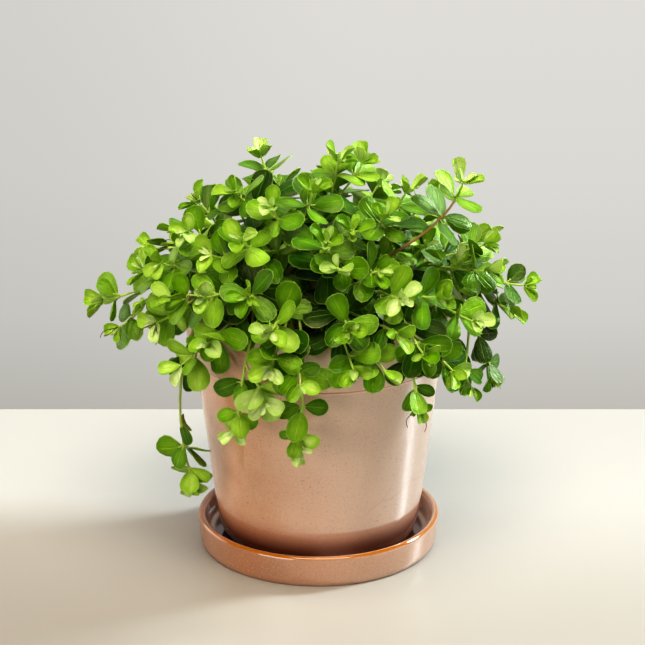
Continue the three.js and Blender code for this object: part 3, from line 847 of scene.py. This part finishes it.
def turned(name, profile, through=False):
    """A round piece drawn up ring by ring from its first ring.

    Both ends close on the axis, or they meet round a hole.
    """
    (radius, height), *rest = profile
    fill = "NOTHING" if through else "TRIFAN"
    bpy.ops.mesh.primitive_circle_add(
        vertices=ROUND_SIDES, radius=radius * MM, fill_type=fill, location=(0, 0, height * MM)
    )
    piece = bpy.context.object
    piece.name = name
    bpy.ops.object.transform_apply(location=True)
    bpy.ops.object.mode_set(mode="EDIT")
    bpy.ops.mesh.select_mode(type="EDGE")
    bpy.ops.mesh.select_all(action="DESELECT")
    bpy.ops.mesh.select_non_manifold()
    for next_radius, next_height in rest:
        climb = (0, 0, (next_height - height) * MM)
        bpy.ops.mesh.extrude_edges_move(TRANSFORM_OT_translate={"value": climb})
        grow = next_radius / radius
        bpy.ops.transform.resize(value=(grow, grow, 1), center_override=(0, 0, 0))
        radius, height = next_radius, next_height
    if not through:
        bpy.ops.mesh.edge_face_add()
        bpy.ops.mesh.poke()
    bpy.ops.mesh.select_all(action="SELECT")
    bpy.ops.mesh.remove_doubles(threshold=1e-6)
    bpy.ops.mesh.normals_make_consistent(inside=False)
    bpy.ops.object.mode_set(mode="OBJECT")
    bpy.ops.object.shade_smooth()
    piece.select_set(False)
    return piece


def make_saucer():
    inner = SAUCER_RADIUS - SAUCER_WALL
    profile = [
        (SAUCER_RADIUS - 3.2, 0, 0),
        (SAUCER_RADIUS - 2.4, 0, 0.5),
        (SAUCER_RADIUS - 0.9, 2.2, 2.0),
        (SAUCER_RADIUS, SAUCER_HEIGHT - 1.2, 1.4),
        (SAUCER_RADIUS - 1.9, SAUCER_HEIGHT, 1.3),
        (inner, SAUCER_HEIGHT - 1.4, 1.3),
        (inner - 1.4, SAUCER_FLOOR + 1.4, 2.4),
        (inner - 3.6, SAUCER_FLOOR, 1.6),
        (inner - 20, SAUCER_FLOOR, 0),
        (12, SAUCER_FLOOR, 0),
    ]
    saucer = turned("saucer_glazed", eased(profile))
    edges = [(SAUCER_RADIUS - 0.7, SAUCER_HEIGHT - 0.5, 1.15), (inner + 0.4, SAUCER_HEIGHT - 0.8, 0.7)]
    skin = glaze_finish("saucer_glaze", edges, colour(172, 126, 95), colour(207, 172, 150))
    saucer.data.materials.append(skin)
    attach(saucer, "root")
    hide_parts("saucer")


def make_pot():
    profile = [
        (DRAIN_RADIUS, POT_FLOOR_Z, 0),
        (DRAIN_RADIUS, POT_FOOT_Z, 0.8),
        (POT_FOOT_RADIUS - 4, POT_FOOT_Z, 1.5),
        (POT_FOOT_RADIUS, POT_FOOT_Z + 4.5, 3.6),
        (WAIST_RADIUS, WAIST_Z, 9),
        (NECK_RADIUS - 0.1, COLLAR_FOOT_Z - 1.0, 1.4),
        (COLLAR_FOOT_RADIUS, COLLAR_FOOT_Z, 1.3),
        (POT_RIM_RADIUS, POT_RIM_Z - 1.6, 1.5),
        (POT_RIM_RADIUS - 2.4, POT_RIM_Z, 1.6),
        (POT_RIM_RADIUS - POT_WALL, POT_RIM_Z - 1.6, 1.4),
        (NECK_RADIUS - POT_WALL, COLLAR_FOOT_Z - 3, 3),
        (WAIST_RADIUS - POT_WALL, WAIST_Z, 4),
        (POT_FOOT_RADIUS - POT_WALL - 2, POT_FLOOR_Z, 1.5),
        (DRAIN_RADIUS, POT_FLOOR_Z, 0),
    ]
    pot = turned("pot_glazed", eased(profile), through=True)
    edges = [(POT_RIM_RADIUS - 0.3, POT_RIM_Z - 0.8, 1.4), (COLLAR_FOOT_RADIUS, COLLAR_FOOT_Z - 0.3, 1.2)]
    skin = glaze_finish("pot_glaze", edges, colour(216, 175, 146), colour(220, 196, 181))
    pot.data.materials.append(skin)
    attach(pot, "root")
    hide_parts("pot")


# ---- leaves and stems ----

BLADE_SIDES = 14
BLADE_DEPTH = 0.035
PETIOLE_SIDES = 6


def model_blade():
    """A round blade of unit length, with one ring of faces round a fan, closed by an underside."""
    bpy.ops.mesh.primitive_circle_add(
        vertices=BLADE_SIDES, radius=0.5, fill_type="NGON", rotation=(0, 0, math.pi / 2)
    )
    blade = bpy.context.object
    bpy.ops.object.transform_apply(rotation=True)
    bpy.ops.object.mode_set(mode="EDIT")
    bpy.ops.mesh.select_mode(type="EDGE")
    bpy.ops.mesh.select_all(action="SELECT")
    bpy.ops.mesh.mark_sharp()
    bpy.ops.mesh.select_mode(type="FACE")
    bpy.ops.mesh.select_all(action="SELECT")
    bpy.ops.mesh.inset(thickness=0.17)
    bpy.ops.mesh.poke()
    bpy.ops.mesh.select_all(action="SELECT")
    bpy.ops.mesh.extrude_region_move(TRANSFORM_OT_translate={"value": (0, 0, -BLADE_DEPTH)})
    bpy.ops.mesh.select_all(action="SELECT")
    bpy.ops.mesh.normals_make_consistent(inside=False)
    bpy.ops.object.mode_set(mode="OBJECT")
    bpy.ops.object.shade_smooth()
    return blade


def model_petiole():
    """A stalk of unit length and unit radius along X, in three stretches."""
    bpy.ops.mesh.primitive_cylinder_add(
        vertices=PETIOLE_SIDES, radius=1, depth=1, rotation=(0, math.pi / 2, 0), location=(0.5, 0, 0)
    )
    stalk = bpy.context.object
    bpy.ops.object.transform_apply(location=True, rotation=True)
    bpy.ops.object.mode_set(mode="EDIT")
    bpy.ops.mesh.select_all(action="SELECT")
    for place in (0.35, 0.7):
        bpy.ops.mesh.bisect(plane_co=(place, 0, 0), plane_no=(1, 0, 0))
        bpy.ops.mesh.select_all(action="SELECT")
    bpy.ops.object.mode_set(mode="OBJECT")
    bpy.ops.object.shade_smooth()
    return stalk


def coordinates(mesh):
    found = np.zeros(len(mesh.vertices) * 3, np.float32)
    mesh.vertices.foreach_get("co", found)
    return found.reshape(-1, 3).astype(float)


def set_float(mesh, name, values):
    attribute = mesh.attributes.get(name) or mesh.attributes.new(name, "FLOAT", "POINT")
    attribute.data.foreach_set("value", np.asarray(values, np.float32))


def copied(pattern, points):
    """A copy of a pattern with a mesh of its own, its corners at points in mm."""
    made = pattern.copy()
    made.data = pattern.data.copy()
    made.data.vertices.foreach_set("co", (points * MM).astype(np.float32).ravel())
    made.data.update()
    bpy.context.collection.objects.link(made)
    return made


# Colour age of a leaf by its whorl's order, counted from the tip; -1 is the youngest pairs
LEAF_AGE = {-1: 0.05, 0: 0.23, 1: 0.46, 2: 0.66, 3: 0.76, 4: 0.84, 5: 0.9, 6: 0.93}


class LeafMaker:
    """One modelled blade and stalk, and the bent copies of them that make each leaf."""

    def __init__(self, blade_finish, stalk_finish):
        blade, stalk = model_blade(), model_petiole()
        blade.data.materials.append(blade_finish)
        stalk.data.materials.append(stalk_finish)
        shape = coordinates(blade.data)
        map_ = blade.data.uv_layers.new(name="blade")
        for loop in blade.data.loops:
            x, y = shape[loop.vertex_index][:2]
            map_.data[loop.index].uv = (x + 0.5, y + 0.5)
        stalk.data.uv_layers.new(name="blade")
        self.blade, self.blade_shape = blade, shape
        self.stalk, self.stalk_shape = stalk, coordinates(stalk.data)
        self.draw = seeded_draws(411)
        for pattern in (blade, stalk):
            pattern.select_set(False)

    def done(self):
        for pattern in (self.blade, self.stalk):
            bpy.data.objects.remove(pattern)

    def copy(self, pattern, points, age, under):
        made = copied(pattern, points)
        set_float(made.data, "age", np.full(len(points), age))
        set_float(made.data, "under", under)
        return made

    def leaf(self, leaf, root, youth, trailing):
        """Blade and stalk of one leaf. root is where its stalk leaves the stem's own line."""
        draw = self.draw
        length = leaf.length
        young = leaf.order <= 0
        age = LEAF_AGE[leaf.order] + youth + 0.3 * (draw() - 0.5) * (0.4 if leaf.order < 0 else 1)
        width = (0.6 if leaf.order < 0 else 0.9 if trailing else 0.74) + 0.17 * draw()
        wedge = 0.72 + 0.26 * draw()
        roundness = 0.42 + 0.22 * draw() ** 2
        cup = 0.7 + 1.1 * draw() if young else 1.5 * (draw() - 0.6)
        fold = 0.5 * draw() if leaf.order < 0 else 0.24 * draw() ** 1.5
        droop = 0.45 * (draw() - 0.3)
        pitch = 0.5 * (draw() - 0.5)
        wave, phase = 0.035 * draw(), 6.28 * draw()
        roll = 0.8 * (draw() - 0.5)
        side = leaf.side * math.cos(roll) + leaf.up * math.sin(roll)
        up = leaf.up * math.cos(roll) - leaf.side * math.sin(roll)
        x, y, depth = self.blade_shape.T
        radius = np.hypot(x, y) * 2
        angle = np.arctan2(y, x)
        under = depth < -BLADE_DEPTH / 2
        share = (x + 0.5).clip(1e-6, 1 - 1e-6)
        outline = share**wedge * (1 - share) ** roundness
        widest = wedge / (wedge + roundness)
        outline /= widest**wedge * (1 - widest) ** roundness
        base = 0.3 * leaf.petiole
        along = base + share * (leaf.petiole + length - base)
        across = length * width * 0.5 * outline * y / np.sqrt(share * (1 - share))
        thick = (0.32 + 0.024 * length) * (1 - 0.45 * radius**2)
        rise = length * (cup * 0.3 * (across / length * 2) ** 2 + fold * np.abs(across / length))
        rise += length * (pitch * (share - 0.1) - droop * share**2 * 0.6 + cup * 0.12 * share**2)
        rise += length * wave * radius**3 * np.sin(3 * angle + phase) - thick * under
        points = leaf.point + np.outer(along, leaf.out) + np.outer(across, side) + np.outer(rise, up)
        blade = self.copy(self.blade, points, age, under.astype(float))
        u, v, w = self.stalk_shape.T
        reach = base + 0.2 * length
        thin = (0.36 + 0.016 * length) * (1.25 - 0.5 * u + 0.5 * (u - 0.6).clip(0))
        rooted = np.outer((1 - u).clip(0, 1) ** 2, root - leaf.point)
        lowered = -(0.2 + 0.014 * length) * u + length * pitch * 0.15 * u
        points = (
            leaf.point
            + rooted
            + np.outer(u * reach, leaf.out)
            + np.outer(v * thin, side)
            + np.outer(w * thin * 0.8 + lowered, up)
        )
        stalk = self.copy(self.stalk, points, 0.1 + 0.35 * max(0, age), np.zeros(len(points)))
        return [blade, stalk]


# By plant: how brown its stem is, which tips have withered (plant, side shoot), and its leaves' shift in age
BROWN_STEMS = {6: 0.68, 5: 0.35, 29: 0.4, 28: 0.3, 25: 0.3}
WITHERED_TIPS = {(26, False), (16, True), (22, False), (5, False), (18, False)}
LEAF_YOUTH = {6: -0.04, 30: -0.2, 28: -0.1}


def stem_line(shoot):
    """Close points along a shoot's own curve, from its foot to its tip."""
    count = max(6, math.ceil(shoot.length / 3.4))
    points, length = spaced_points(shoot.controls, count)
    if shoot.fork:
        joint = points[0]
        trunk = stem_line(shoot.parent)
        nearest = trunk[np.argmin(((trunk - joint) ** 2).sum(1))]
        ease = (1 - np.linspace(0, 1, len(points)) * 3).clip(0) ** 2
        points = points + np.outer(ease, nearest - joint)
    return points


def tube(line, radius, skin):
    """A thin round stem along a line of points in mm, with a radius at each."""
    data = bpy.data.curves.new("stem", "CURVE")
    data.dimensions = "3D"
    data.bevel_depth = MM
    data.bevel_resolution = 1
    data.use_fill_caps = True
    spline = data.splines.new("POLY")
    spline.points.add(len(line) - 1)
    for point, place, thickness in zip(spline.points, line, radius):
        point.co = (*(place * MM), 1)
        point.radius = thickness
    stem = bpy.data.objects.new("stem", data)
    bpy.context.collection.objects.link(stem)
    bpy.context.view_layer.objects.active = stem
    stem.select_set(True)
    bpy.ops.object.convert(target="MESH")
    stem = bpy.context.object
    stem.data.materials.clear()
    stem.data.materials.append(skin)
    stem.data.uv_layers.new(name="blade")
    set_float(stem.data, "under", np.zeros(len(stem.data.vertices)))
    stem.select_set(False)
    return stem


def make_withered_threads(shoot, skin, draw):
    """Two dry threads that curl away from a withered tip."""
    threads = []
    tip = shoot.path[-1]
    sweep = np.linspace(0, 1, 10)
    for k in range(2):
        heading = unit(end_direction(tip) + wobble(draw, 1.2))
        across = unit(np.cross(heading, np.array([0.3, -0.2, 1.0])))
        curl = (1.2 + 1.6 * draw()) * (1 if k else -1)
        line = tip + np.outer(9 * sweep, heading) + np.outer(curl * (1 - np.cos(4 * sweep)), across)
        line[:, 2] -= 2.5 * sweep**2
        thread = tube(line, 0.26 - 0.1 * sweep, skin)
        set_float(thread.data, "age", np.full(len(thread.data.vertices), 1.1))
        threads.append(thread)
    return threads


def make_stem(shoot, skin):
    """A shoot's stem, thinner to its tip and thicker at its nodes, and the line that it follows."""
    line = stem_line(shoot)
    steps = np.linalg.norm(np.diff(line, axis=0), axis=1)
    to_tip = np.concatenate([np.cumsum(steps[::-1])[::-1], [0]])
    base = 1.3 if shoot.plant == LEANING_STEM else 0.72 if shoot.fork else 1.05
    radius = 0.42 + (base - 0.42) * (to_tip / shoot.length) ** 0.7
    for reach in shoot.nodes:
        radius = radius + 0.22 * np.exp(-(((to_tip - reach) / 1.6) ** 2))
    radius[-1] = 0.25
    stem = tube(line, radius, skin)
    points = coordinates(stem.data) / MM
    nearest = ((points[:, None] - line[None]) ** 2).sum(2).argmin(1)
    brown = BROWN_STEMS.get(shoot.plant, 0.0)
    age = (to_tip[nearest] / 130).clip(0, 1) ** 0.8 * 0.75
    age = np.maximum(age, (to_tip[nearest] / 14).clip(0, 1) * brown)
    set_float(stem.data, "age", age)
    return stem, line


def joined_as(name, pieces):
    """One piece of many, smooth and named, left unselected."""
    bpy.ops.object.select_all(action="DESELECT")
    for piece in pieces:
        piece.select_set(True)
    bpy.context.view_layer.objects.active = pieces[0]
    bpy.ops.object.join()
    joined = bpy.context.object
    joined.name = name
    bpy.ops.object.shade_smooth()
    joined.select_set(False)
    return joined


def make_plants():
    """One piece for each leafy stem of the solids, with its own shoots, leaves and dry threads."""
    leaf_skin, stem_skin = leaf_finish(), stem_finish()
    maker = LeafMaker(leaf_skin, stem_skin)
    plants = {}
    for shoot in foliage.stems:
        plants.setdefault(shoot.plant, []).append(shoot)
    for plant, shoots in sorted(plants.items()):
        pieces = []
        for shoot in shoots:
            stem, line = make_stem(shoot, stem_skin)
            pieces.append(stem)
            if (plant, shoot.fork) in WITHERED_TIPS:
                pieces += make_withered_threads(shoot, stem_skin, maker.draw)
            youth = LEAF_YOUTH.get(plant, 0) + 0.34 * (maker.draw() - 0.5)
            for leaf in shoot.leaves:
                root = line[np.argmin(((line - leaf.point) ** 2).sum(1))]
                pieces += maker.leaf(leaf, root, youth, plant == TRAILING_STEM)
        joined = joined_as(f"leafy_stem_fine_{plant + 1:02d}", pieces)
        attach(joined, "root")
        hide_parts(f"leafy_stem_{plant + 1:02d}")
    maker.done()


# ---- soil ----


def make_soil():
    """The soil keeps its solid, under a layer of crumbs."""
    soil = frame["nodes"]["soil"]
    skin = soil_finish()
    for slot in soil.material_slots:
        slot.material = skin
    draw = seeded_draws(58)
    bpy.ops.mesh.primitive_ico_sphere_add(subdivisions=1, radius=1)
    pattern = bpy.context.object
    shape = coordinates(pattern.data)
    crumbs = []
    for k in range(CRUMBS):
        radius = CRUMB_FIELD_RADIUS * math.sqrt((k + 0.5) / CRUMBS)
        angle = k * GOLDEN_ANGLE
        size = 0.8 + 2.2 * draw() ** 3
        place = np.array([radius * math.cos(angle), radius * math.sin(angle), SOIL_TOP_Z + 0.25 * size])
        place = place + np.array([2 * draw(), 2 * draw(), 0])
        ripple = np.array([3 + 4 * draw(), 3 + 4 * draw(), 3 + 4 * draw()])
        lumps = 1 + 0.35 * np.sin(shape @ ripple + 6 * draw())
        flat = np.array([1 + 0.5 * draw(), 0.7 + 0.4 * draw(), 0.5 + 0.4 * draw()])
        crumbs.append(copied(pattern, shape * lumps[:, None] * flat * size + place))
    bpy.data.objects.remove(pattern)
    joined = joined_as("soil_crumbs", crumbs)
    joined.data.materials.clear()
    joined.data.materials.append(skin)
    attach(joined, "root")


# ---- table, backdrop, light and camera ----


def make_stage():
    """A pale table before a grey backdrop, over a pale floor."""
    bpy.ops.mesh.primitive_cube_add(size=1, location=(0, -0.905, -0.01), scale=(6, 2.19, 0.02))
    table = bpy.context.object
    table.name = "table_top"
    bpy.ops.object.transform_apply(location=True, scale=True)
    wood = Finish("pale_table", Roughness=0.34)
    where = wood.place()
    tone = wood.noise(where, 5.0, 2.0)
    pale = wood.mixed(tone, colour(178, 175, 168), colour(173, 169, 161))
    # painted shade: the table darker towards the front, lighter at the back
    pale = wood.mixed(wood.part_of(where, "Y").rising(-0.14, 0.08), pale, colour(191, 190, 185))
    table.data.materials.append(wood.wear(Base_Color=pale))
    bpy.ops.mesh.primitive_plane_add(size=1, location=(0, 0, -0.72))
    floor = bpy.context.object
    floor.name = "floor"
    floor.scale = (30, 30, 1)
    bpy.ops.object.transform_apply(location=True, scale=True)
    ground = Finish("pale_floor", Roughness=0.8)
    drift = ground.noise(ground.place(), 3.0, 2.0)
    tone = ground.mixed(drift, colour(172, 171, 167), colour(166, 164, 160))
    ground.shader.inputs["Emission Strength"].default_value = 0.8
    floor.data.materials.append(ground.wear(Base_Color=tone, Emission_Color=tone))
    floor.select_set(False)
    bpy.ops.mesh.primitive_plane_add(size=1, location=(0, 1.9, 0.6), rotation=(math.pi / 2, 0, 0))
    wall = bpy.context.object
    wall.name = "backdrop"
    wall.scale = (8, 5, 1)
    bpy.ops.object.transform_apply(location=True, rotation=True, scale=True)
    grey = Finish("backdrop_grey", Roughness=1.0, Specular_IOR_Level=0.0)
    where = grey.place()
    height = grey.part_of(where, "Z")
    side = grey.part_of(where, "X")
    # painted shade: the glowing backdrop darker towards the table and towards the left
    stops = [(0.0, colour(172, 170, 165)), (1.0, colour(195, 193, 190)), (0.25, colour(184, 183, 179)),
             (0.6, colour(191, 190, 186))]
    tone = grey.ramp((height + 0.66) / 0.62, stops)
    tone = grey.mixed(side.falling(-0.55, 0.1) * 0.16, tone, colour(120, 119, 115))
    grey.shader.inputs["Emission Strength"].default_value = 1.0
    grey.shader.inputs["Base Color"].default_value = (0, 0, 0, 1)
    wall.data.materials.append(grey.wear(Emission_Color=tone))
    table.select_set(False)
    wall.select_set(False)


# Name, place, what it faces, width and height, watts and colour
LAMPS = [
    ("key", (4.2, 1.9, 3.0), (0, 0, 0.1), (1.3, 1.3), 450, (0.82, 0.94, 1.0)),
    ("ceiling", (0.1, -0.9, 2.1), (0, 0, 0.1), (1.6, 1.4), 44, (1.0, 0.9, 0.78)),
    ("left_fill", (-1.5, -1.9, 0.5), (0, 0, 0.08), (1.4, 0.7), 16, (1.0, 0.9, 0.82)),
    ("left_rim", (-2.4, 1.1, 0.7), (0, 0, 0.08), (1.8, 1.2), 14, (1.0, 0.96, 0.92)),
]


def add_area_light(name, place, target, size, power, tint):
    data = bpy.data.lights.new(name, "AREA")
    data.shape = "RECTANGLE"
    data.size, data.size_y = size
    data.energy = power
    data.color = tint
    lamp = bpy.data.objects.new(name, data)
    lamp.location = place
    lamp.rotation_euler = (Vector(target) - Vector(place)).to_track_quat("-Z", "Y").to_euler()
    lamp.visible_camera = False
    bpy.context.collection.objects.link(lamp)


def make_light():
    world = bpy.data.worlds.new("studio")
    world.use_nodes = True
    background = world.node_tree.nodes["Background"]
    background.inputs["Color"].default_value = (1.0, 0.85, 0.7, 1)
    background.inputs["Strength"].default_value = 0.07
    bpy.context.scene.world = world
    for lamp in LAMPS:
        add_area_light(*lamp)


FRAME_PIXELS = 645
FOCAL_PIXELS = 2000
SENSOR_WIDTH = 36
CAMERA_PLACE = (0.00214, -0.9844, 0.4504)
CAMERA_PITCH = 18.5


def make_camera():
    data = bpy.data.cameras.new("photograph")
    data.sensor_width = SENSOR_WIDTH
    data.lens = FOCAL_PIXELS / FRAME_PIXELS * SENSOR_WIDTH
    data.clip_end = 20
    camera = bpy.data.objects.new("photograph", data)
    camera.location = CAMERA_PLACE
    camera.rotation_euler = (math.radians(90 - CAMERA_PITCH), 0, 0)
    bpy.context.collection.objects.link(camera)
    bpy.context.scene.camera = camera


make_camera()
make_saucer()
make_pot()
make_soil()
make_plants()
make_stage()
make_light()
bpy.context.scene.view_settings.view_transform = "Standard"
bpy.context.scene.view_settings.look = "High Contrast"
